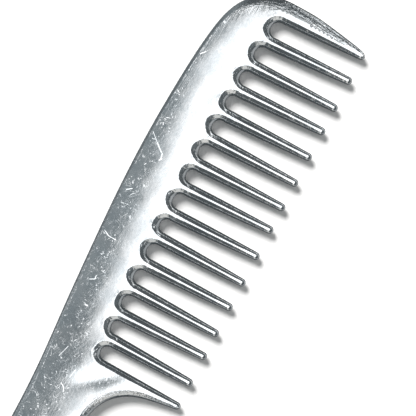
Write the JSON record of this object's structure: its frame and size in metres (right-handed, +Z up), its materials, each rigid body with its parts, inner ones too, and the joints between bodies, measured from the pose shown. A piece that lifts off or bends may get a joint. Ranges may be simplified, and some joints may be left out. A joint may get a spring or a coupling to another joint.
{
  "type": "wide tooth comb",
  "caption": "One-piece cast and polished aluminium comb with wide-set tapering teeth, a finger rest and a long handle.",
  "frame": {"origin": "middle of the underside of the comb's bounding box, lying flat", "axes": "+X along the comb from the handle to the nose, +Y from the teeth's tips towards the back, +Z up through the thickness"},
  "size_m": [0.215, 0.0446, 0.0052],
  "materials": {
    "polished_aluminium": "polished casting with fine scratches and small nicks"
  },
  "bodies": {
    "root": {"handle": "polished_aluminium", "heel": "polished_aluminium", "spine": "polished_aluminium", "nose": "polished_aluminium", "tooth_01": "polished_aluminium", "tooth_02": "polished_aluminium", "tooth_03": "polished_aluminium", "tooth_04": "polished_aluminium", "tooth_05": "polished_aluminium", "tooth_06": "polished_aluminium", "tooth_07": "polished_aluminium", "tooth_08": "polished_aluminium", "tooth_09": "polished_aluminium", "tooth_10": "polished_aluminium", "tooth_11": "polished_aluminium", "tooth_12": "polished_aluminium", "tooth_13": "polished_aluminium", "tooth_14": "polished_aluminium", "tooth_15": "polished_aluminium"}
  },
  "joints": []
}
